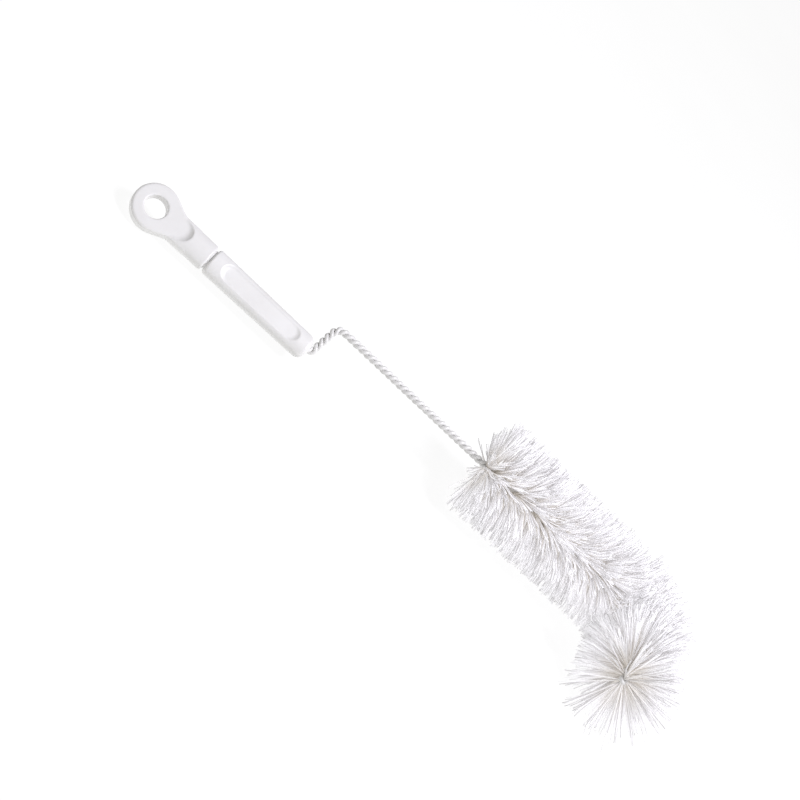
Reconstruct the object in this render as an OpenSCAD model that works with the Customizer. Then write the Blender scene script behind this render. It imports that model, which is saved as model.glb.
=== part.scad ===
// Bottle brush: a moulded handle with a hanging eye, a cranked stem of twisted
// coated wire, and a cylinder of nylon bristles that is bent over at its end.
//
// Working frame of the modules: the straight stem runs along +X, starting at
// the crank's upper corner; the handle lies behind it, and the end of the
// brush bends over towards -Y. rest() then turns the whole object into the
// way it lies on a table and puts the origin under the middle of its box.

/* [Handle] */
// Distance from the end face that the wire leaves to the centre of the eye
grip_to_eye = 110; // [96:1:125]
// Width of the handle at the grip
handle_w = 16.2; // [15:0.1:20]
// Thickness of the handle at the grip
handle_t = 12.6; // [11.6:0.1:16]
// Distance from the end face to the groove that goes all round
groove_at = 70.6; // [66:0.1:76]
// Width of the groove
groove_w = 1.4; // [1:0.1:2.5]
// Depth of the groove
groove_d = 2; // [1:0.1:2.6]
// Outer radius of the hanging eye
eye_r = 13.2; // [12:0.1:15]
// Radius of the hole in the hanging eye
eye_hole_r = 6.3; // [4:0.1:7.5]
// Thickness of the hanging eye
eye_t = 8; // [7:0.1:9]
// Depth of the pocket in each broad face of the grip
pocket_depth = 1.5; // [0.8:0.1:2]
// Distance from the end face to the near end of the grip's pocket
pocket_near = 8.5; // [7:0.5:16]
// Distance from the end face to the far end of the grip's pocket
pocket_far = 63.5; // [50:0.5:64]
// Half the width of the pocket's flat floor
pocket_flat = 2.9; // [2:0.1:4]
// Radius of the pocket's curved walls
wall_r = 5; // [4:0.5:8]
// Distance from the end face to where the stub steps down to the eye
stub_step = 86.2; // [80:0.1:90]

/* [Wire] */
// Diameter of one coated strand
strand_d = 2.16; // [1.8:0.02:2.3]
// Distance from the twisted stem's centre to the centre of each strand
twist_r = 1.2; // [1.16:0.01:1.3]
// Length of one full turn of the bare stem's twist
stem_pitch = 8.3; // [8:0.1:12]
// Length of one full turn of the twist inside the bristles
brush_pitch = 18; // [14:0.5:24]
// Length of wire held inside the handle
wire_in_handle = 40; // [20:1:55]
// Sideways step of the crank, from the handle's axis to the stem's axis
crank_step = 22.2; // [16:0.1:30]
// How far the crank's leg leans forward
crank_lean = 3; // [0:0.1:8]
// Bend radius of the crank's corner at the handle
crank_r1 = 4; // [3.8:0.1:6]
// Bend radius of the crank's corner at the stem
crank_r2 = 5.5; // [4:0.1:8]
// Turn of the crank about the stem, measured up from the table
crank_turn = 39.4; // [0:0.1:90]

/* [Bristles] */
// Outer radius of the brush
brush_r = 30.5; // [26:0.5:35]
// Distance from the crank's corner to the first bristles
brush_start = 114.7; // [90:0.1:140]
// Length of the straight part of the brush
brush_straight = 107.3; // [60:0.1:140]
// Radius of the wire's bend near the end of the brush
bend_r = 25; // [18:0.5:40]
// Angle of that bend
bend_angle = 104; // [60:1:110]
// Length of the wire after the bend
brush_end = 38; // [28:0.5:50]
// How far the bristles at the tip fan forward of the wire's end
tip_fan = 5; // [0:0.5:9]

/* [Rest] */
// Dip of the handle's end, so that the eye touches the table
rest_pitch = 1.18; // [0:0.01:3]
// Roll towards the bent end, so that the tip touches the table
rest_roll = 1.98; // [0:0.01:4]

/* [Hidden] */
$fn = 96;
// from the crank's corner to the middle of the lying object's footprint
home = [-74.56, 24.79, 28.12];

// --- directions and stations of the route -------------------------------
// the crank's plane holds X and up_c; its normal is up_n
up_c = [0, cos(crank_turn), sin(crank_turn)];
up_n = [0, -sin(crank_turn), cos(crank_turn)];
leg_len = norm([crank_lean, crank_step]);
crank_angle = atan2(crank_step, crank_lean);
corner1 = [-crank_lean, 0, 0] - crank_step * up_c;
cut1 = crank_r1 * tan(crank_angle / 2);
cut2 = crank_r2 * tan(crank_angle / 2);
face_back = 2;                       // the handle's end face, behind corner1
end_face = corner1 - [face_back, 0, 0];
s_in = wire_in_handle - cut1 + face_back;       // straight run inside the handle
s_b1 = s_in + crank_r1 * crank_angle * PI / 180;
s_leg = s_b1 + leg_len - cut1 - cut2;
s_b2 = s_leg + crank_r2 * crank_angle * PI / 180;
s_stem = s_b2 + brush_start - cut2;             // where the bristles begin
s_str = s_stem + brush_straight;
s_bend = s_str + bend_r * bend_angle * PI / 180;
s_end = s_bend + brush_end;
hold_r = twist_r + strand_d / 2 + 0.08;         // the hole round the twisted pair

// --- small vector helpers -------------------------------------------------
function unit(v) = v / norm(v);
// v turned by a degrees about the unit axis k
function turned(v, k, a) = v * cos(a) + cross(k, v) * sin(a) + k * (k * v) * (1 - cos(a));

// --- the centre line of the twisted pair ---------------------------------
// heading() is how far the line has turned away from +X: positive about
// up_n in the crank, negative about Z in the end bend
function in_crank(s) = s < s_b2;
function heading(s) =
    s < s_in ? 0 :
    s < s_b1 ? (s - s_in) / crank_r1 * 180 / PI :
    s < s_leg ? crank_angle :
    s < s_b2 ? crank_angle - (s - s_leg) / crank_r2 * 180 / PI :
    s < s_str ? 0 :
    s < s_bend ? -(s - s_str) / bend_r * 180 / PI : -bend_angle;
function turn_axis(s) = in_crank(s) ? up_n : [0, 0, 1];
function along(s) = turned([1, 0, 0], turn_axis(s), heading(s));
start1 = corner1 - [cut1, 0, 0];
leg_dir = unit(-corner1);
function centre(s) =
    s < s_in ? start1 + [s - s_in, 0, 0] :
    s < s_b1 ? start1 + crank_r1 * (up_c - turned(up_c, up_n, heading(s))) :
    s < s_leg ? corner1 + leg_dir * (cut1 + s - s_b1) :
    s < s_b2 ? [cut2, 0, 0] - crank_r2 * (up_c - turned(up_c, up_n, heading(s))) :
    s < s_str ? [cut2 + s - s_b2, 0, 0] :
    s < s_bend ? [brush_start + brush_straight, -bend_r, 0]
        + bend_r * [sin(-heading(s)), cos(-heading(s)), 0] :
    bend_out + (s - s_bend) * along(s_end);
bend_out = [brush_start + brush_straight + bend_r * sin(bend_angle),
            -bend_r * (1 - cos(bend_angle)), 0];

// --- one strand wound round the centre line ------------------------------
// a left-handed twist, tight on the bare stem and opening up among the bristles
function wound(s) = -360 * (s - s_stem) / (s < s_stem ? stem_pitch : brush_pitch);
// the pair opens a little at the fold to leave the eye of the fold
eye_len = 2.6;
fold_r = 1.36;
function spread(s) = twist_r + (fold_r - twist_r) * max(0, min(1, (s - (s_end - fold_r - eye_len)) / eye_len));
function radial(s, side) =
    let (k = turn_axis(s), h = heading(s))
    side * (cos(wound(s)) * turned([0, 1, 0], k, h) + sin(wound(s)) * turned([0, 0, 1], k, h));
function strand_at(s, side) = centre(s) + spread(s) * radial(s, side);

// --- the wire's skin -------------------------------------------------------
sides = 7;
s_fold = s_end - fold_r;
// how far a strand's rings turn back, so that its skin isn't wrung as it winds
function lay(pitch) = cos(atan2(2 * PI * twist_r, pitch));
function unwound(s) = wound(s) * lay(s < s_stem ? stem_pitch : brush_pitch);
// stations, closer together where the twist is tight
stem_steps = ceil(s_stem / (stem_pitch / 8));
brush_steps = ceil((s_fold - s_stem) / (brush_pitch / 8));
stations = concat(
    [for (i = [0:stem_steps - 1]) s_stem * i / stem_steps],
    [for (i = [0:brush_steps]) s_stem + (s_fold - s_stem) * i / brush_steps]);
n_st = len(stations);
// a ring of the strand: points round its own centre line
function ring(p, t, r0, off) =
    let (n = unit(r0 - t * (r0 * t)), b = cross(t, n))
    [for (j = [0:sides - 1]) let (a = 360 * j / sides + off) p + strand_d / 2 * (cos(a) * n + sin(a) * b)];
function strand_dir(s, side) = unit(strand_at(min(s + 0.02, s_fold), side) - strand_at(max(s - 0.02, 0), side));
fold_steps = 6;
fold_rings = [for (i = [1:fold_steps - 1])
    let (a = 180 * i / fold_steps, u = radial(s_fold, 1), d = along(s_fold))
    ring(centre(s_fold) + fold_r * (cos(a) * u + sin(a) * d), cos(a) * d - sin(a) * u, cos(a) * u + sin(a) * d, -unwound(s_fold))];
wire_rings = concat(
    [for (s = stations) ring(strand_at(s, 1), strand_dir(s, 1), radial(s, 1), -unwound(s))],
    fold_rings,
    [for (i = [n_st - 1:-1:0]) let (s = stations[i]) ring(strand_at(s, -1), -strand_dir(s, -1), radial(s, -1), unwound(s) - 2 * unwound(s_fold))]);

// a closed skin over a list of rings of the same size
module skin(rings) {
    m = len(rings[0]);
    k = len(rings);
    polyhedron(
        points = [for (r = rings) each r],
        faces = concat(
            [[for (j = [0:m - 1]) j]],
            [for (i = [0:k - 2], j = [0:m - 1])
                [i * m + j, (i + 1) * m + j, (i + 1) * m + (j + 1) % m, i * m + (j + 1) % m]],
            [[for (j = [m - 1:-1:0]) (k - 1) * m + j]]),
        convexity = 10);
}

// --- the handle's sections ---------------------------------------------------
// A rounded section with bowed faces, at distance x from the end face. It is
// drawn in by dw and dt from the full width and thickness, and narrows a
// little towards the wire's end.
sec_n = 32;
sec_p = 2.4;
function bowed(c) = sign(c) * pow(abs(c), 2 / sec_p);
function slim(x) = 0.93 + 0.07 * min(1, x / groove_at);
function section(x, dw, dt) =
    let (w = handle_w / 2 * slim(x) - dw, t = handle_t / 2 * slim(x) - dt)
    [for (j = [0:sec_n - 1]) let (a = -360 * (j + 0.5) / sec_n) [-x, w * bowed(cos(a)), t * bowed(sin(a))]];
// how far a rounded edge of radius r draws the skin in, at distance x from the end
function drawn(x, r) = x >= r ? 0 : r - sqrt(r * r - (r - x) * (r - x));
nose_w = 4.8;
nose_t = 2.8;
lip_w = 2;
lip_t = 0.9;
lip_s = 1.1;
stub_end = grip_to_eye - eye_hole_r - 2.2;
groove_end = groove_at + groove_w;
body_rings = concat(
    [for (x = [0, 0.2, 0.6, 1.2, 2, 3.2, 4.8]) section(x, drawn(x, nose_w), drawn(x, nose_t))],
    [section(30, 0, 0)],
    [for (e = [2, 1.2, 0.6, 0.2]) section(groove_at - e, drawn(e, lip_w), drawn(e, lip_t))],
    [section(groove_at, lip_w, lip_t)],
    [for (x = [groove_at + 0.01, groove_end]) section(x, groove_d, groove_d)],
    [for (e = [0, 0.1, 0.4, 1.1]) section(groove_end + e, drawn(e, lip_s), drawn(e, lip_s))],
    [section(stub_end, 0, 0)]);

// half the outline of a round-cornered cutter: flat to flat_r, floor at height z
module cutter(flat_r, z) {
    translate([0, z]) square([flat_r, wall_r]);
    intersection() {
        translate([flat_r, z + wall_r]) circle(wall_r);
        translate([0, z]) square([flat_r + wall_r, wall_r]);
    }
}
// how far its wall runs out before it meets a surface at the height top
function run_out(z, top) = sqrt(wall_r * wall_r - pow(wall_r - (top - z), 2));
// a pocket in both broad faces, cut along the middle from x0 to x1, where it
// leaves the surface: round ends, and walls that rise in an arc
module pocket(x0, x1, flat_r, z, top) {
    reach = flat_r + run_out(z, top);
    for (side = [0, 1]) mirror([0, 0, side]) {
        for (x = [x0 + reach, x1 - reach]) translate([-x, 0, 0]) rotate_extrude() cutter(flat_r, z);
        translate([-x1 + reach, 0, 0]) rotate([90, 0, 90]) linear_extrude(x1 - x0 - 2 * reach)
            union() {
                cutter(flat_r, z);
                mirror([1, 0]) cutter(flat_r, z);
            }
    }
}
// a flat cut across both broad faces from x0 on, whose wall rises in an arc
module shoulder(x0, z) {
    for (side = [0, 1]) mirror([0, 0, side])
        translate([-x0, handle_w, 0]) rotate([90, 0, 0]) linear_extrude(2 * handle_w)
            union() {
                translate([-60, z]) square([60, wall_r]);
                translate([0, z + wall_r]) circle(wall_r);
            }
}

// ring section of the hanging eye: flat faces, rounded rims
rim_in = 1;
rim_out = 1.6;
eye_section = concat(
    [for (a = [0:22.5:90]) [eye_r - rim_out + rim_out * cos(a), eye_t / 2 - rim_out + rim_out * sin(a)]],
    [for (a = [90:22.5:180]) [eye_hole_r + rim_in + rim_in * cos(a), eye_t / 2 - rim_in + rim_in * sin(a)]],
    [for (a = [180:22.5:270]) [eye_hole_r + rim_in + rim_in * cos(a), -eye_t / 2 + rim_in + rim_in * sin(a)]],
    [for (a = [270:22.5:360]) [eye_r - rim_out + rim_out * cos(a), -eye_t / 2 + rim_out + rim_out * sin(a)]]);

// the concave neck between the eye and the stub, on each side
neck_r = 5;
neck_w = handle_w / 2 - 0.25;
neck_x = sqrt(pow(eye_r + neck_r, 2) - pow(neck_w + neck_r, 2));
neck_a = atan2(neck_w + neck_r, neck_x);
module neck() {
    for (side = [0, 1]) mirror([0, side, 0])
        translate([0, 0, -eye_t / 2 + 0.8]) linear_extrude(eye_t - 1.6)
            polygon(concat(
                [[2, 0], [neck_x + 0.6, 0], [neck_x + 0.6, neck_w - 0.05]],
                [for (i = [0:6]) let (a = -90 - (90 - neck_a) * i / 6)
                    [neck_x + neck_r * cos(a), neck_w + neck_r + neck_r * sin(a) - 0.05]],
                [[(eye_r - 1) * cos(neck_a), (eye_r - 1) * sin(neck_a)]]));
}

// half the width of the flat where the scooped end begins
stub_flat = 4.2;

// --- placing -------------------------------------------------------------------
// from the handle's own frame (end face at the origin, handle along -X,
// width along Y, thickness along Z) into the working frame
module at_handle() {
    translate(end_face) rotate([crank_turn, 0, 0]) children();
}
// the way the brush lies: eye, first bristles and tip all touch the table
module rest() {
    translate(home) rotate([rest_roll, 0, 0]) rotate([0, -rest_pitch, 0]) children();
}

module handle() color("white") rest() at_handle() difference() {
    union() {
        difference() {
            skin(body_rings);
            pocket(pocket_near, pocket_far, pocket_flat, handle_t / 2 - pocket_depth, handle_t / 2);
            // the stub's faces step down to the eye's, with a scooped end
            pocket(stub_step, grip_to_eye + 2 * eye_r, stub_flat, eye_t / 2, handle_t / 2);
            shoulder(stub_step + stub_flat + run_out(eye_t / 2, handle_t / 2), eye_t / 2);
        }
        translate([-grip_to_eye, 0, 0]) rotate_extrude() polygon(eye_section);
        translate([-grip_to_eye, 0, 0]) neck();
    }
    // the hole that it hangs by
    translate([-grip_to_eye, 0, -eye_t]) cylinder(r = eye_hole_r, h = 2 * eye_t);
    // the hole that the wire is moulded into, with a small mouth
    translate([-wire_in_handle - 0.5, 0, 0]) rotate([0, 90, 0]) cylinder(r = hold_r, h = wire_in_handle + 5);
    translate([-cut1 + face_back - 0.2, 0, 0]) rotate([0, 90, 0]) cylinder(r = hold_r + 0.45, h = 10);
}

module wire() color("gainsboro") rest() skin(wire_rings);

// the bristles as one body: a cylinder, an elbow round the bend, and a shorter
// cylinder with a dished end, with a hole for the wire all along
module along_end(d) {
    translate(bend_out) rotate([0, 0, -bend_angle]) translate([d, 0, 0]) rotate([0, 90, 0]) children();
}
module bristles() color("ghostwhite") rest() difference() {
    union() {
        translate([brush_start, 0, 0]) rotate([0, 90, 0]) cylinder(r = brush_r, h = brush_straight);
        elbow() intersection() {
            translate([bend_r, 0]) circle(brush_r - 0.4);
            translate([0.05, -brush_r]) square([bend_r + brush_r, 2 * brush_r]);
        }
        along_end(0) cylinder(r = brush_r, h = brush_end + tip_fan);
    }
    translate([brush_start - 1, 0, 0]) rotate([0, 90, 0]) cylinder(r = hold_r, h = brush_straight + 1);
    elbow() translate([bend_r, 0]) circle(hold_r + 0.1);
    along_end(0) cylinder(r = hold_r, h = brush_end);
    // the fan at the tip stands forward of the wire's end
    along_end(brush_end - 4) cylinder(r1 = 3.4, r2 = brush_r + 4.4, h = tip_fan + 5);
    // the first bristles lean a little away from the rest
    translate([brush_start - 0.01, 0, 0]) rotate([0, 90, 0]) cylinder(r1 = brush_r - 2, r2 = 3, h = 2.5);
}
// it runs a degree into the straight parts, a little slimmer than they are
module elbow() {
    translate([brush_start + brush_straight, -bend_r, 0]) rotate([0, 0, 89 - bend_angle])
        rotate_extrude(angle = bend_angle + 2) children();
}

handle();
wire();
bristles();
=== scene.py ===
"""Looks of the bottle brush: the moulded handle, the twisted coated wire and the
nylon filaments, built in millimetres in the CAD source's working frame (stem
along +X) and carried into the shared frame by to_row()."""

import math

import bpy
import numpy as np
from mathutils import Matrix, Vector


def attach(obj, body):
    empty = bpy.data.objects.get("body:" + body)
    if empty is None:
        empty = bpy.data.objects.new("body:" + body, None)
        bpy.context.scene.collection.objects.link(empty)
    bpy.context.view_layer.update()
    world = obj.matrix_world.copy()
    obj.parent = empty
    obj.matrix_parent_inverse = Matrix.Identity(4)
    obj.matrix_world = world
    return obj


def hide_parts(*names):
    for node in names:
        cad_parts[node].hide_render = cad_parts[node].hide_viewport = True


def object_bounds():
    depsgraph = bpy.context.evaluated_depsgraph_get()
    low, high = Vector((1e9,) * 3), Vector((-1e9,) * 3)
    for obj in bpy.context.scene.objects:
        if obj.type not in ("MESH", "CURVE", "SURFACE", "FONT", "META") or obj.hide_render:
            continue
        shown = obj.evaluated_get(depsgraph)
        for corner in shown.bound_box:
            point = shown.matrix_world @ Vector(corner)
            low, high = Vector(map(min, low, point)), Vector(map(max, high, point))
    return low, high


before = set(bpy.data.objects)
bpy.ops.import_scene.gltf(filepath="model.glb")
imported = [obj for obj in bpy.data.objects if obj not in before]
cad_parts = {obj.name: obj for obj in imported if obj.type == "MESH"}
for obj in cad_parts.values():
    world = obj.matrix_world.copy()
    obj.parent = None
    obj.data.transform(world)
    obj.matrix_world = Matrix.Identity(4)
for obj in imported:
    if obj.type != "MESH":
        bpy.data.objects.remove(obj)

cad_lo, cad_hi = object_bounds()
scene = bpy.context.scene

# --- the route of the wire, as in part.scad (mm) ---------------------------------
X, Y, Z = np.eye(3)
CRANK_STEP, CRANK_LEAN, CRANK_R1, CRANK_R2 = 22.2, 3.0, 4.0, 5.5
TURN = math.radians(39.4)
WIRE_IN_HANDLE, FACE_BACK = 40.0, 2.0
BRUSH_R, BRUSH_START, BRUSH_STRAIGHT = 30.5, 114.7, 107.3
BEND_R, BEND, BRUSH_END = 25.0, math.radians(104), 38.0
STEM_PITCH, BRUSH_PITCH, TWIST_R = 8.3, 18.0, 1.2
REST_PITCH, REST_ROLL = math.radians(1.18), math.radians(1.98)
HOME = np.array([-74.56, 24.79, 28.12])

UP_C = np.array([0, math.cos(TURN), math.sin(TURN)])
UP_N = np.array([0, -math.sin(TURN), math.cos(TURN)])
CORNER1 = -CRANK_LEAN * X - CRANK_STEP * UP_C
END_FACE = CORNER1 - FACE_BACK * X
LEG_LEN = math.hypot(CRANK_LEAN, CRANK_STEP)
CRANK_A = math.atan2(CRANK_STEP, CRANK_LEAN)
CUT1, CUT2 = CRANK_R1 * math.tan(CRANK_A / 2), CRANK_R2 * math.tan(CRANK_A / 2)
S_IN = WIRE_IN_HANDLE - CUT1 + FACE_BACK
S_B1 = S_IN + CRANK_R1 * CRANK_A
S_LEG = S_B1 + LEG_LEN - CUT1 - CUT2
S_B2 = S_LEG + CRANK_R2 * CRANK_A
S_STEM = S_B2 + BRUSH_START - CUT2
S_STR = S_STEM + BRUSH_STRAIGHT
S_BEND = S_STR + BEND_R * BEND
S_END = S_BEND + BRUSH_END
BEND_C = np.array([BRUSH_START + BRUSH_STRAIGHT, -BEND_R, 0])
BEND_OUT = BEND_C + BEND_R * np.array([math.sin(BEND), math.cos(BEND), 0])


def turned(v, k, a):
    """v turned by the angles a about the unit axis k."""
    a = np.asarray(a, float)[..., None]
    return v * np.cos(a) + np.cross(k, v) * np.sin(a) + k * (k @ v) * (1 - np.cos(a))


def heading(s):
    return np.select(
        [s < S_IN, s < S_B1, s < S_LEG, s < S_B2, s < S_STR, s < S_BEND],
        [0 * s, (s - S_IN) / CRANK_R1, CRANK_A + 0 * s, CRANK_A - (s - S_LEG) / CRANK_R2, 0 * s, -(s - S_STR) / BEND_R],
        -BEND,
    )


def frame_at(s):
    """Tangent and the carried Y and Z directions at the stations s."""
    h, crank = heading(s), (s < S_B2)[..., None]
    return [np.where(crank, turned(v, UP_N, h), turned(v, Z, h)) for v in (X, Y, Z)]


def centre(s):
    h, c = heading(s), s[..., None]
    end_dir = turned(X, Z, np.array(-BEND))
    parts = [
        (s < S_IN, CORNER1 - CUT1 * X + X * (c - S_IN)),
        (s < S_B1, CORNER1 - CUT1 * X + CRANK_R1 * (UP_C - turned(UP_C, UP_N, h))),
        (s < S_LEG, CORNER1 - CORNER1 / LEG_LEN * (CUT1 + c - S_B1)),
        (s < S_B2, CUT2 * X - CRANK_R2 * (UP_C - turned(UP_C, UP_N, h))),
        (s < S_STR, X * (CUT2 + c - S_B2)),
        (s < S_BEND, BEND_C + BEND_R * turned(Y, Z, h)),
        (s > -1, BEND_OUT + (c - S_BEND) * end_dir),
    ]
    out = parts[-1][1]
    for where, value in reversed(parts[:-1]):
        out = np.where(where[..., None], value, out)
    return out


def wound(s):
    """How far the pair has turned: left-handed, tight on the stem, open in the brush."""
    return -2 * math.pi * (s - S_STEM) / np.where(s < S_STEM, STEM_PITCH, BRUSH_PITCH)


cp, sp, cr, sr = math.cos(REST_PITCH), math.sin(REST_PITCH), math.cos(REST_ROLL), math.sin(REST_ROLL)
LIE = np.array([[1, 0, 0], [0, cr, -sr], [0, sr, cr]]) @ np.array([[cp, 0, -sp], [0, 1, 0], [sp, 0, cp]])


def to_row(p):
    """Working frame in mm to the shared frame in metres."""
    return (np.asarray(p) @ LIE.T + HOME) * 0.001


def unit(v):
    return v / np.linalg.norm(v, axis=-1, keepdims=True)


def make_mesh(name, points, faces, material, node, tones=None):
    """A smooth-shaded piece that rides on the root and stands for a CAD node.
    faces is a list of (n, k) index arrays."""
    me = bpy.data.meshes.new(name)
    me.vertices.add(len(points))
    me.vertices.foreach_set("co", np.asarray(points, np.float32).ravel())
    loops = np.concatenate([f.ravel() for f in faces]).astype(np.int32)
    totals = np.concatenate([np.full(len(f), f.shape[1]) for f in faces])
    me.loops.add(len(loops))
    me.loops.foreach_set("vertex_index", loops)
    me.polygons.add(len(totals))
    me.polygons.foreach_set("loop_start", np.concatenate([[0], np.cumsum(totals)[:-1]]).astype(np.int32))
    me.update(calc_edges=True)
    me.validate()
    me.polygons.foreach_set("use_smooth", np.ones(len(me.polygons), bool))
    if tones is not None:
        me.color_attributes.new("strand", "FLOAT_COLOR", "POINT").data.foreach_set("color", tones.astype(np.float32).ravel())
    me.materials.append(material)
    ob = bpy.data.objects.new(name, me)
    scene.collection.objects.link(ob)
    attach(ob, "root")
    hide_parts(node)
    return ob


# --- materials ---------------------------------------------------------------------
def new_material(name):
    m = bpy.data.materials.new(name)
    m.use_nodes = True
    nt = m.node_tree
    p = nt.nodes["Principled BSDF"]
    coord = nt.nodes.new("ShaderNodeTexCoord").outputs["Object"]
    return m, nt, p, coord


def noise(nt, coord, scale, detail=2.0, rough=0.5, stretch=None):
    if stretch:
        mp = nt.nodes.new("ShaderNodeMapping")
        mp.inputs["Scale"].default_value = stretch
        nt.links.new(coord, mp.inputs["Vector"])
        coord = mp.outputs["Vector"]
    n = nt.nodes.new("ShaderNodeTexNoise")
    n.inputs["Scale"].default_value = scale
    n.inputs["Detail"].default_value = detail
    n.inputs["Roughness"].default_value = rough
    nt.links.new(coord, n.inputs["Vector"])
    return n.outputs["Fac"]


def ramp(nt, fac, stops):
    r = nt.nodes.new("ShaderNodeValToRGB")
    el = r.color_ramp.elements
    for e, (at, col) in zip([el[0], el[1]] + [el.new(0.5) for _ in stops[2:]], stops):
        e.position, e.color = at, (*col, 1)
    nt.links.new(fac, r.inputs["Fac"])
    return r.outputs["Color"]


def spread(nt, fac, lo, hi):
    m = nt.nodes.new("ShaderNodeMapRange")
    m.inputs["From Min"].default_value, m.inputs["From Max"].default_value = 0.3, 0.7
    m.inputs["To Min"].default_value, m.inputs["To Max"].default_value = lo, hi
    nt.links.new(fac, m.inputs["Value"])
    return m.outputs["Result"]


def times(nt, a, b):
    m = nt.nodes.new("ShaderNodeMix")
    m.data_type, m.blend_type = "RGBA", "MULTIPLY"
    m.inputs["Factor"].default_value = 1.0
    nt.links.new(a, m.inputs[6])
    nt.links.new(b, m.inputs[7])
    return m.outputs[2]


def bump(nt, p, heights):
    """Stacks (height socket, distance in metres) pairs into one normal."""
    last = None
    for h, dist in heights:
        b = nt.nodes.new("ShaderNodeBump")
        b.inputs["Strength"].default_value = 1.0
        b.inputs["Distance"].default_value = dist
        nt.links.new(h, b.inputs["Height"])
        if last:
            nt.links.new(last, b.inputs["Normal"])
        last = b.outputs["Normal"]
    nt.links.new(last, p.inputs["Normal"])


def plastic_material():
    m, nt, p, co = new_material("moulded_polypropylene")
    cloudy = noise(nt, co, 55, 3, 0.55)
    nt.links.new(ramp(nt, cloudy, [(0.3, (0.765, 0.759, 0.745)), (0.7, (0.80, 0.796, 0.788))]), p.inputs["Base Color"])
    nt.links.new(spread(nt, noise(nt, co, 210, 4, 0.6), 0.34, 0.46), p.inputs["Roughness"])
    p.inputs["IOR"].default_value = 1.49
    p.inputs["Subsurface Weight"].default_value = 0.12
    p.inputs["Subsurface Radius"].default_value = (1.0, 0.95, 0.9)
    p.inputs["Subsurface Scale"].default_value = 0.0012
    bump(nt, p, [(noise(nt, co, 60, 2, 0.5), 0.00009), (noise(nt, co, 1400, 3, 0.6), 0.000012)])
    return m


def wire_material():
    m, nt, p, co = new_material("coated_wire")
    mottled = noise(nt, co, 240, 3, 0.55)
    nt.links.new(ramp(nt, mottled, [(0.3, (0.72, 0.715, 0.70)), (0.7, (0.79, 0.787, 0.775))]), p.inputs["Base Color"])
    nt.links.new(spread(nt, noise(nt, co, 500, 3, 0.6), 0.26, 0.42), p.inputs["Roughness"])
    p.inputs["IOR"].default_value = 1.5
    bump(nt, p, [(noise(nt, co, 420, 3, 0.55), 0.00006)])
    return m


def nylon_material():
    m, nt, p, co = new_material("nylon_filament")
    # each filament's own tone, and how far along it a point is from its root in the twist
    strand = nt.nodes.new("ShaderNodeAttribute")
    strand.attribute_name = "strand"
    parts = nt.nodes.new("ShaderNodeSeparateColor")
    nt.links.new(strand.outputs["Color"], parts.inputs["Color"])
    along, own = parts.outputs["Red"], parts.outputs["Green"]
    # painted shade: the base colour is darker and warmer towards the roots, deep in the brush where shade falls; the
    # own tone varies at random
    painted_root_shade = ramp(nt, along, [(0.1, (0.87, 0.84, 0.80)), (0.6, (0.90, 0.895, 0.91))])
    tone = ramp(nt, own, [(0.0, (0.86, 0.85, 0.84)), (0.7, (1.0, 1.0, 1.0))])
    nt.links.new(times(nt, painted_root_shade, tone), p.inputs["Base Color"])
    nt.links.new(spread(nt, noise(nt, co, 1500, 2, 0.5), 0.3, 0.5), p.inputs["Roughness"])
    p.inputs["IOR"].default_value = 1.53
    # painted light: an emission glow that stands for the light that nylon passes on from strand to strand, strong near
    # the outside; it is dim at the roots, which paints shade deep in the brush, and its share varies at random from
    # filament to filament
    glow = ramp(nt, along, [(0.0, (0.44, 0.41, 0.37)), (0.85, (0.95, 0.94, 0.965))])
    share = ramp(nt, own, [(0.05, (0.2, 0.2, 0.2)), (0.85, (1.0, 1.0, 1.0))])
    nt.links.new(times(nt, glow, share), p.inputs["Emission Color"])
    p.inputs["Emission Strength"].default_value = 0.36
    # light passes through the filaments
    tr = nt.nodes.new("ShaderNodeBsdfTranslucent")
    tr.inputs["Color"].default_value = (1, 1, 1, 1)
    mix = nt.nodes.new("ShaderNodeMixShader")
    mix.inputs["Fac"].default_value = 0.22
    nt.links.new(p.outputs["BSDF"], mix.inputs[1])
    nt.links.new(tr.outputs["BSDF"], mix.inputs[2])
    nt.links.new(mix.outputs["Shader"], nt.nodes["Material Output"].inputs["Surface"])
    return m


PLASTIC, COATING, NYLON = plastic_material(), wire_material(), nylon_material()

# --- the handle: one moulding, from its signed distance -------------------------------
# x runs from the end face towards the eye, y across the width, z through the thickness
GRIP_TO_EYE, HANDLE_W, HANDLE_T = 110.0, 16.2, 12.6
GROOVE_AT, GROOVE_W, GROOVE_D = 70.6, 1.4, 2.0
EYE_R, EYE_HOLE_R, EYE_T = 13.2, 6.3, 8.0
POCKET_DEPTH, POCKET_NEAR, POCKET_FAR, POCKET_FLAT, WALL_R = 1.5, 8.5, 63.5, 2.9, 5.0
WALL_A = math.radians(48)
STUB_STEP, STUB_FLAT = 86.2, 4.2
STRAND_R = 1.13


def drawn(x, r):
    x = np.clip(x, 0, r)
    return r - np.sqrt(np.maximum(r * r - (r - x) ** 2, 0))


def round_max(a, b, r):
    return np.minimum(np.maximum(a, b), -r) + np.hypot(np.maximum(a + r, 0), np.maximum(b + r, 0))


def round_min(a, b, r):
    return -round_max(-a, -b, r)


def run_out(depth):
    return math.sqrt(WALL_R**2 - (WALL_R - depth) ** 2)


def scooped(out, z, floor, depth):
    """Distance to a cut, out being the plan distance from its flat floor. Its walls
    start in an arc and end in a slope, on the rim that run_out gives."""
    wall = (out - run_out(depth)) * math.sin(WALL_A) - (z - floor - depth) * math.cos(WALL_A)
    return round_max(wall, floor - z, 0.75 * depth)


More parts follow.
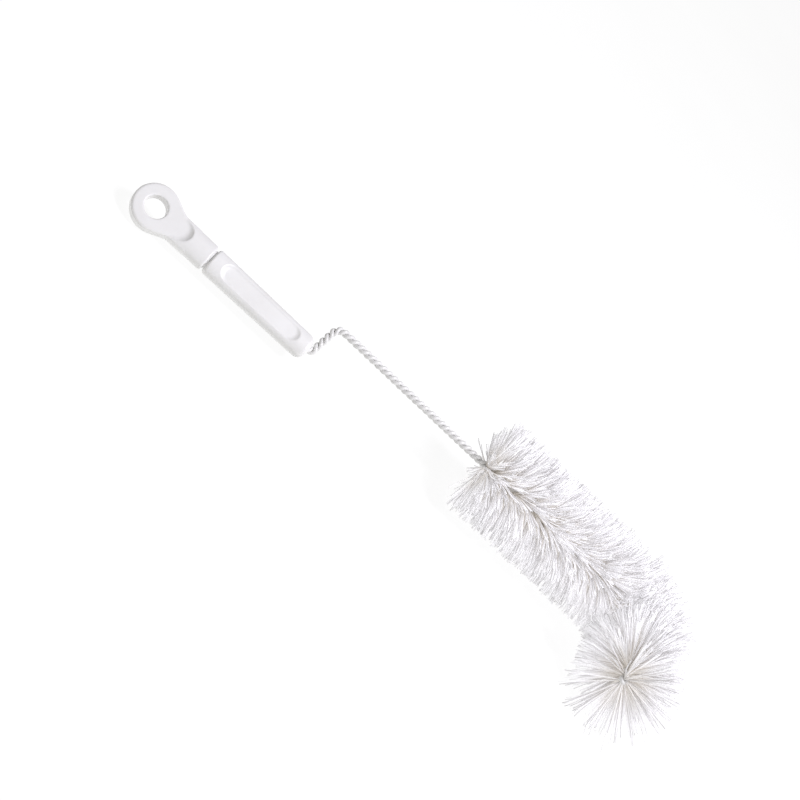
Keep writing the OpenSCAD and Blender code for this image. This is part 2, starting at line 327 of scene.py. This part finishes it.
def handle_distance(q):
    x, y, z = q[..., 0], np.abs(q[..., 1]), np.abs(q[..., 2])
    end = GROOVE_AT + GROOVE_W
    slim = 0.93 + 0.07 * np.clip(x / GROOVE_AT, 0, 1)
    after = np.where(x < end, GROOVE_D, drawn(x - end, 1.1))
    w = HANDLE_W / 2 * slim - np.maximum(drawn(x, 4.8), np.where(x < GROOVE_AT, drawn(GROOVE_AT - x, 2.0), after))
    t = HANDLE_T / 2 * slim - np.maximum(drawn(x, 2.8), np.where(x < GROOVE_AT, drawn(GROOVE_AT - x, 0.9), after))
    a, b, p = np.maximum(y, 1e-6) / w, np.maximum(z, 1e-6) / t, 2.4
    rho = (a**p + b**p) ** (1 / p)
    slope = np.hypot((a / rho) ** (p - 1) / w, (b / rho) ** (p - 1) / t)
    body = np.maximum((rho - 1) / slope, -x)
    reach = POCKET_FLAT + run_out(POCKET_DEPTH)
    past = np.maximum(np.maximum(POCKET_NEAR + reach - x, x - POCKET_FAR + reach), 0)
    body = round_max(body, -scooped(np.hypot(past, y) - POCKET_FLAT, z, HANDLE_T / 2 - POCKET_DEPTH, POCKET_DEPTH), 0.3)
    at = STUB_STEP + STUB_FLAT + run_out((HANDLE_T - EYE_T) / 2)
    past = round_min(np.hypot(np.maximum(at - x, 0), y) - STUB_FLAT, at - x, 1.5)
    body = round_max(body, -scooped(past, z, EYE_T / 2 - 0.6, (HANDLE_T - EYE_T) / 2 + 0.6), 0.3)
    body = np.maximum(body, x - 101.5)
    # the eye and its neck: a flat plate with rounded rims
    ring = np.hypot(x - GRIP_TO_EYE, y) - EYE_R
    band = np.maximum(np.maximum(y - (HANDLE_W / 2 - 0.25), x - GRIP_TO_EYE), 84 - x)
    plate = round_max(round_min(ring, band, 5.0), z - EYE_T / 2, 1.6)
    d = round_min(body, plate, 0.5)
    return round_max(d, EYE_HOLE_R - np.hypot(x - GRIP_TO_EYE, y), 1.0)


def with_wire_hole(q):
    """The plastic hugs the two strands at the end face; behind that is a plain hole."""
    x, y, z = q[..., 0], q[..., 1], q[..., 2]
    d = handle_distance(q)
    near = (x < 42) & (np.hypot(y, z) < 4)
    s = np.clip(CORNER1[0] - FACE_BACK - x[near] - (CORNER1[0] - CUT1 - S_IN), 0, S_IN)
    turn = wound(s)
    # width runs along UP_C and thickness along UP_N
    c, si = math.cos(TURN), math.sin(TURN)
    ay, az = np.cos(turn) * c + np.sin(turn) * si, -np.cos(turn) * si + np.sin(turn) * c
    gap = np.minimum(
        np.hypot(y[near] - TWIST_R * ay, z[near] - TWIST_R * az),
        np.hypot(y[near] + TWIST_R * ay, z[near] + TWIST_R * az),
    ) - (STRAND_R + 0.02)
    gap = np.maximum(gap, x[near] - 3)
    bore = np.maximum(np.hypot(y[near], z[near]) - 2.36, np.maximum(2.4 - x[near], x[near] - 40.5))
    d[near] = np.maximum(d[near], -np.minimum(gap, bore))
    return d


def surface_net(f, xs, ys, zs):
    """Points and quads of the surface f = 0 on a rectilinear grid (naive surface nets)."""
    inside = f < 0
    n = [len(v) - 1 for v in (xs, ys, zs)]
    corners = [(i, j, k) for i in (0, 1) for j in (0, 1) for k in (0, 1)]

    def at(a, c):
        return a[c[0] : c[0] + n[0], c[1] : c[1] + n[1], c[2] : c[2] + n[2]]

    count = sum(at(inside, c).astype(np.int8) for c in corners)
    cells = np.argwhere((count > 0) & (count < 8))
    ids = -np.ones(n, int)
    ids[tuple(cells.T)] = np.arange(len(cells))
    grid = [np.asarray(v) for v in (xs, ys, zs)]
    total, hits = np.zeros((len(cells), 3)), np.zeros(len(cells))
    for a in corners:
        for axis in range(3):
            if a[axis]:
                continue
            b = tuple(v + (i == axis) for i, v in enumerate(a))
            ia, ib = tuple((cells + a).T), tuple((cells + b).T)
            fa, fb = f[ia], f[ib]
            cut = (fa < 0) != (fb < 0)
            u = fa[cut] / (fa[cut] - fb[cut])
            pa = np.stack([grid[i][ia[i][cut]] for i in range(3)], -1)
            pb = np.stack([grid[i][ib[i][cut]] for i in range(3)], -1)
            total[cut] += pa + (pb - pa) * u[:, None]
            hits[cut] += 1
    points = total / hits[:, None]
    quads = []
    for axis in range(3):
        lo = [slice(1, n[i]) for i in range(3)]
        hi = list(lo)
        lo[axis], hi[axis] = slice(0, n[axis]), slice(1, n[axis] + 1)
        fa, fb = inside[tuple(lo)], inside[tuple(hi)]
        start = np.array([0 if i == axis else 1 for i in range(3)])
        u, v = [i for i in range(3) if i != axis]
        if axis == 1:
            u, v = v, u
        for cut, flip in ((fa & ~fb, False), (~fa & fb, True)):
            e = np.argwhere(cut) + start
            around = []
            for du, dv in ((-1, -1), (0, -1), (0, 0), (-1, 0)):
                c = e.copy()
                c[:, u] += du
                c[:, v] += dv
                around.append(ids[tuple(c.T)])
            q = np.stack(around, -1)
            quads.append(q[:, ::-1] if flip else q)
    return points, np.concatenate(quads)


def steps(marks):
    """Grid lines through (start, end, spacing) stretches that follow each other."""
    out = [np.array([marks[0][0]], float)]
    for a, b, h in marks:
        out.append(np.linspace(a, b, max(1, round((b - a) / h)) + 1)[1:])
    return np.concatenate(out)


def settle(points, quads, distance, rounds):
    """Evens out the net a little and puts its points on the true surface."""

    def project(p, times):
        for _ in range(times):
            g = np.stack([distance(p + 0.02 * v) - distance(p - 0.02 * v) for v in (X, Y, Z)], -1) / 0.04
            step = distance(p) / np.maximum((g * g).sum(-1), 0.2)
            p = p - g * np.clip(step, -0.25, 0.25)[:, None]
        return p

    points = project(points, 2)
    edges = np.concatenate([quads[:, [i, (i + 1) % 4]] for i in range(4)])
    for _ in range(rounds):
        acc, num = np.zeros_like(points), np.zeros(len(points))
        np.add.at(acc, edges[:, 0], points[edges[:, 1]])
        np.add.at(num, edges[:, 0], 1)
        points = project(points + 0.35 * (acc / num[:, None] - points), 2)
    return points


def build_handle():
    xs = steps([(-0.9, 6, 0.3), (6, 9, 0.4), (9, 62, 0.5), (62, 67.5, 0.4), (67.5, 75, 0.22), (75, 85, 0.45), (85, 124.2, 0.4)])
    ys = steps([(-14.1, -2.8, 0.38), (-2.8, 2.8, 0.28), (2.8, 14.1, 0.38)])
    zs = steps([(-7.2, -2.8, 0.36), (-2.8, 2.8, 0.28), (2.8, 7.2, 0.36)])
    q = np.stack(np.meshgrid(xs, ys, zs, indexing="ij"), -1)
    points, quads = surface_net(with_wire_hole(q), xs, ys, zs)
    points = settle(points, quads, with_wire_hole, 2)
    placed = END_FACE + np.stack([-points[:, 0]], -1) * X + points[:, 1:2] * UP_C + points[:, 2:3] * UP_N
    # x runs backwards, so the faces are turned round
    return make_mesh("moulded_handle", to_row(placed), [quads[:, ::-1]], PLASTIC, "handle")


# --- the wire: one strand there, the fold, and back ----------------------------------
FOLD_R, EYE_LEN = 1.36, 2.6
S_FOLD = S_END - FOLD_R


def pair_spread(s):
    return TWIST_R + (FOLD_R - TWIST_R) * np.clip((s - (S_FOLD - EYE_LEN)) / EYE_LEN, 0, 1)


def radial(s):
    _, ey, ez = frame_at(s)
    a = wound(s)[..., None]
    return np.cos(a) * ey + np.sin(a) * ez


def carried_frames(path):
    """Rotation-minimising normals along a polyline (double reflection)."""
    t = unit(np.gradient(path, axis=0))
    n = np.empty_like(path)
    n[0] = unit(np.cross(t[0], np.cross(Z, t[0])))
    for i in range(len(path) - 1):
        v = path[i + 1] - path[i]
        c = v @ v
        r = n[i] - 2 / c * (v @ n[i]) * v
        tl = t[i] - 2 / c * (v @ t[i]) * v
        w = t[i + 1] - tl
        n[i + 1] = r - 2 / (w @ w + 1e-18) * (w @ r) * w if w @ w > 1e-16 else r
    return t, n, np.cross(t, n)


def build_wire():
    s = np.concatenate([
        np.linspace(0, S_STEM, math.ceil(S_STEM / STEM_PITCH * 24), endpoint=False),
        np.linspace(S_STEM, S_FOLD, math.ceil((S_FOLD - S_STEM) / BRUSH_PITCH * 30)),
    ])
    c, r = centre(s), radial(s) * pair_spread(s)[:, None]
    a = np.linspace(0, math.pi, 11)[1:-1, None]
    top = c[-1] + FOLD_R * (np.cos(a) * unit(r[-1]) + np.sin(a) * frame_at(s[-1:])[0][0])
    path = np.concatenate([c + r, top, (c - r)[::-1]])
    _, n, b = carried_frames(path)
    sides = 14
    ang = np.arange(sides) * 2 * math.pi / sides
    # the coating is a touch uneven along its length
    at = np.arange(len(path))
    thick = STRAND_R * (1 + 0.012 * np.sin(at * 0.21) + 0.008 * np.sin(at * 0.047 + 1.3))
    rings = path[:, None] + thick[:, None, None] * (np.cos(ang)[:, None] * n[:, None] + np.sin(ang)[:, None] * b[:, None])
    k = len(path)
    i, j = np.meshgrid(np.arange(k - 1), np.arange(sides), indexing="ij")
    j2 = (j + 1) % sides
    quads = np.stack([i * sides + j, i * sides + j2, (i + 1) * sides + j2, (i + 1) * sides + j], -1).reshape(-1, 4)
    caps = [np.arange(sides)[None, ::-1], ((k - 1) * sides + np.arange(sides))[None]]
    return make_mesh("twisted_wire", to_row(rings.reshape(-1, 3)), [quads, *caps], COATING, "wire")


# --- the bristles: filaments held in the twist -----------------------------------------
FILAMENT_R = 0.28
KNOTS, SIDES = 6, 4
TUFT = 2


def filament_paths(rng, s_from, s_to, tufts):
    """Paths (mm) of the filaments of a stretch of the brush, as tufts of TUFT."""
    s = s_from + (np.arange(tufts) + rng.random(tufts)) / tufts * (s_to - s_from)
    if s_from < S_STEM + 1:
        # the first turn is packed tighter
        s = np.concatenate([s, s_from + 3 * rng.random(110)])
        tufts = len(s)
    side = rng.integers(0, 2, tufts)
    phi = wound(s) + math.pi / 2 + math.pi * side + rng.normal(0, math.radians(24), tufts)
    in_bend = np.clip(1 - np.maximum(S_STR - s, s - S_BEND) / 10, 0, 1)
    phi += in_bend * rng.normal(0, math.radians(22), tufts)
    lean_s = 0.05 + rng.uniform(-0.105, 0.105, tufts) + rng.normal(0, 0.02, tufts)
    lean_s += np.clip(1 - np.maximum(S_STR - s, s - S_BEND) / 16, 0, 1) * rng.normal(0, 0.16, tufts)
    phi += np.exp(-(s - S_STEM) / 2.5) * rng.normal(0, 1.2, tufts)
    # on the inner side of the bend both arms' bristles cross
    inside = np.clip(0.5 - np.cos(phi), 0, 1)
    lean_s += 0.26 * inside * np.exp(-(((s - S_STR + 4) / 9) ** 2))
    lean_s -= 0.22 * inside * np.exp(-(((s - S_BEND - 2) / 9) ** 2))
    lean_t = rng.normal(0, 0.05, tufts)
    # the first and last tufts fan out
    lean_s -= 0.16 * np.exp(-(s - S_STEM) / 4.0) * rng.uniform(0.2, 1.0, tufts)
    last = np.exp(-(S_END - 2.4 - s) / 5.0)
    lean_s += 0.30 * last * rng.uniform(0.6, 1.1, tufts)
    sway_s, sway_t = rng.normal(0, 0.8, tufts), rng.normal(0, 0.8, tufts)
    curl_s, curl_t = rng.normal(0, 0.5, tufts), rng.normal(0, 0.5, tufts)
    reach = BRUSH_R + rng.normal(0, 0.7, tufts) - np.where(rng.random(tufts) < 0.1, rng.uniform(0, 4, tufts), 0)
    reach += last * rng.uniform(1.0, 5.5, tufts)
    low = np.clip(np.cos(phi - 3.75), 0, 1) ** 3
    reach += last * low * np.where(rng.random(tufts) < 0.35, rng.uniform(3, 7, tufts), 0)
    # and gather into pointed tufts
    wedge = 2 * math.pi / 23
    phi += np.exp(-(S_END - 1.8 - s) / 3.5) * 0.85 * (np.round(phi / wedge) * wedge - phi)
    # a collar of short ones all round the wire where it goes in
    collar = (s < S_STEM + 2.2) & (rng.random(tufts) < 0.55)
    phi = np.where(collar, rng.uniform(0, 2 * math.pi, tufts), phi)
    reach = np.where(collar, rng.uniform(6, 13, tufts), reach)
    lean_s = np.where(collar, rng.uniform(-0.35, 0.25, tufts), lean_s)
    # at the tip, those on the inner side of the bend are few and short
    inner = np.clip((s - S_END + 18) / 9, 0, 1) * np.clip(-np.cos(phi + 0.45) * 1.8 - 0.3, 0, 1)
    reach *= 1 - inner * rng.uniform(0.2, 0.65, tufts)
    keep = rng.random(tufts) > 0.86 * inner
    s, phi, lean_s, lean_t, sway_s, sway_t, curl_s, curl_t, reach = (
        v[keep] for v in (s, phi, lean_s, lean_t, sway_s, sway_t, curl_s, curl_t, reach)
    )
    tufts = len(s)

    def each(v, sd):
        return np.repeat(v, TUFT) + rng.normal(0, sd, tufts * TUFT)

    s, phi = each(s, 0.35), each(phi, math.radians(1.1))
    lean_s, lean_t = each(lean_s, 0.012), each(lean_t, 0.012)
    sway_s, sway_t, curl_s, curl_t = each(sway_s, 0.3), each(sway_t, 0.3), each(curl_s, 0.25), each(curl_t, 0.25)
    s = np.clip(s, S_STEM + 0.1, S_END - 1.1)
    length = each(reach, 0.35)
    u = np.linspace(0, 1, KNOTS)[None]
    wave, curl = u**2, np.sin(math.pi * u) * u
    along = length[:, None] * lean_s[:, None] * u + sway_s[:, None] * wave + curl_s[:, None] * curl
    across = length[:, None] * lean_t[:, None] * u + sway_t[:, None] * wave + curl_t[:, None] * curl
    out = np.sqrt(np.maximum((0.4 + (length[:, None] - 0.4) * u) ** 2 - across**2, 0.1))
    # trimmed to a cylinder; where they lean far they fall short of it
    co, si = np.cos(phi)[:, None], np.sin(phi)[:, None]
    py, pz = out * co - across * si, out * si + across * co
    # inside the bend they are squeezed together and pushed out sideways
    squeeze = np.clip(1 - np.maximum(S_STR - 2 - s, s - S_BEND - 2) / 8, 0, 1)[:, None]
    deep = np.maximum(-py - 13, 0) * squeeze
    py = py + deep * 0.5
    pz = pz + np.sign(pz) * deep * 0.35
    along = along * (1 - 0.5 * squeeze * np.clip(-py / 20, 0, 1))
    t, ey, ez = frame_at(s)
    return centre(s)[:, None] + along[..., None] * t[:, None] + py[..., None] * ey[:, None] + pz[..., None] * ez[:, None], t


def tubes(paths, axis):
    n = len(paths)
    t = unit(np.gradient(paths, axis=1))
    nrm = unit(np.cross(t, axis[:, None]))
    bi = np.cross(t, nrm)
    ang = np.arange(SIDES) * 2 * math.pi / SIDES
    thick = FILAMENT_R * np.array([1, 1, 1, 1, 0.96, 0.8])
    rings = paths[:, :, None] + thick[:, None, None] * (
        np.cos(ang)[:, None] * nrm[:, :, None] + np.sin(ang)[:, None] * bi[:, :, None]
    )
    i, j = np.meshgrid(np.arange(KNOTS - 1), np.arange(SIDES), indexing="ij")
    j2 = (j + 1) % SIDES
    quad = np.stack([i * SIDES + j, i * SIDES + j2, (i + 1) * SIDES + j2, (i + 1) * SIDES + j], -1).reshape(-1, 4)
    start = (np.arange(n) * KNOTS * SIDES)[:, None, None]
    quads = (quad[None] + start).reshape(-1, 4)
    ends = np.stack([np.arange(SIDES)[::-1], (KNOTS - 1) * SIDES + np.arange(SIDES)])
    return rings.reshape(-1, 3), [quads, (ends[None] + start).reshape(-1, SIDES)]


def build_bristles():
    cuts = [
        ("bristles_start", S_STEM + 0.4, S_STEM + 36),
        ("bristles_middle", S_STEM + 36, S_STEM + 72),
        ("bristles_before_bend", S_STEM + 72, S_STR + 4),
        ("bristles_bend", S_STR + 4, S_BEND - 4),
        ("bristles_tip", S_BEND - 4, S_END - 1.2),
    ]
    per_mm = 54.0  # half filaments to a millimetre of wire
    for k, (name, a, b) in enumerate(cuts):
        rng = np.random.default_rng(4100 + k)
        tufts = round((b - a) * per_mm / TUFT)
        paths, axis = filament_paths(rng, a, b, tufts)
        points, faces = tubes(paths, axis)
        placed = to_row(points)
        # those that reach the table lie on it
        placed[:, 2] = np.maximum(placed[:, 2], 0.0001)
        tones = np.ones((len(paths), KNOTS, SIDES, 4))
        # painted light: filament roots close to the wire's end are given a higher along value, so they take the
        # brighter tip colour and glow, a bright spot at the wire's end
        painted_light_at_tip = 0.5 * np.exp(-np.linalg.norm(paths[:, 0] - centre(np.array([S_END])), axis=-1) / 6)
        tones[..., 0] = np.maximum(np.linspace(0, 1, KNOTS)[None, :], painted_light_at_tip[:, None])[..., None]
        tones[..., 1] = rng.random(len(paths))[:, None, None]
        make_mesh(name, placed, faces, NYLON, "bristles", tones.reshape(-1, 4))


build_handle()
build_wire()
build_bristles()

# --- camera: set in the working frame, as the brush is seen ---------------------------
E, G, ROLL = math.radians(30), math.radians(12), math.radians(50.3)
gp = math.asin(math.sin(G) / math.cos(E))
back = np.array([-math.sin(gp) * math.cos(E), -math.cos(gp) * math.cos(E), math.sin(E)])
flat = np.array([math.cos(gp), -math.sin(gp), 0])
above = np.cross(back, flat)
right = math.cos(ROLL) * flat + math.sin(ROLL) * above
up = -math.sin(ROLL) * flat + math.cos(ROLL) * above
TARGET, DIST, FOCAL_PX = np.array([52.8, -2.6, -5.4]), 740.0, 1329.0


def placed_at(ob, at, axes):
    m = np.eye(4)
    m[:3, :3], m[:3, 3] = np.stack(axes, -1), at
    ob.matrix_world = Matrix(m.tolist())


cam_data = bpy.data.cameras.new("camera")
cam_data.sensor_width = 36.0
cam_data.lens = 36.0 * FOCAL_PX / 800
cam_data.clip_start, cam_data.clip_end = 0.02, 40
cam = bpy.data.objects.new("camera", cam_data)
scene.collection.objects.link(cam)
RIGHT, UP, BACK = LIE @ right, LIE @ up, LIE @ back
placed_at(cam, to_row(TARGET + DIST * back), (RIGHT, UP, BACK))
scene.camera = cam

# --- floor and light ----------------------------------------------------------------
# a pale floor that glows a little, as a light table does
floor_me = bpy.data.meshes.new("floor")
floor_me.from_pydata([(-12, -12, 0), (12, -12, 0), (12, 12, 0), (-12, 12, 0)], [], [(0, 1, 2, 3)])
floor = bpy.data.objects.new("floor", floor_me)
floor.location.z = min(cad_lo.z, 0.0) - 0.0003
scene.collection.objects.link(floor)
fm, fnt, fp, fco = new_material("pale_floor")
fnt.links.new(ramp(fnt, noise(fnt, fco, 3, 2, 0.5), [(0.3, (0.12, 0.12, 0.12)), (0.7, (0.135, 0.135, 0.135))]), fp.inputs["Base Color"])
fp.inputs["Roughness"].default_value = 0.9
fp.inputs["Specular IOR Level"].default_value = 0.1
fp.inputs["Emission Color"].default_value = (1, 1, 1, 1)
fp.inputs["Emission Strength"].default_value = 0.9
floor_me.materials.append(fm)

world = bpy.data.worlds.new("studio")
world.use_nodes = True
world.node_tree.nodes["Background"].inputs["Color"].default_value = (1.0, 0.985, 0.965, 1)
world.node_tree.nodes["Background"].inputs["Strength"].default_value = 0.36
scene.world = world


def area(name, towards, dist, size, power, colour):
    """A round soft light, towards being its direction as (right, up, back) of the camera's view."""
    la = bpy.data.lights.new(name, "AREA")
    la.shape = "DISK"
    la.size, la.energy, la.color = size, power, colour
    ob = bpy.data.objects.new(name, la)
    scene.collection.objects.link(ob)
    d = unit(towards[0] * RIGHT + towards[1] * UP + towards[2] * BACK)
    side = unit(np.cross(Y, d))
    placed_at(ob, d * dist + np.array([0, 0, 0.03]), (side, np.cross(d, side), d))
    return ob


area("key", (0.85, 0.04, 0.51), 1.9, 0.7, 37, (0.93, 0.92, 1.0))

scene.view_settings.view_transform = "Standard"
scene.view_settings.look = "None"

bpy.context.view_layer.update()
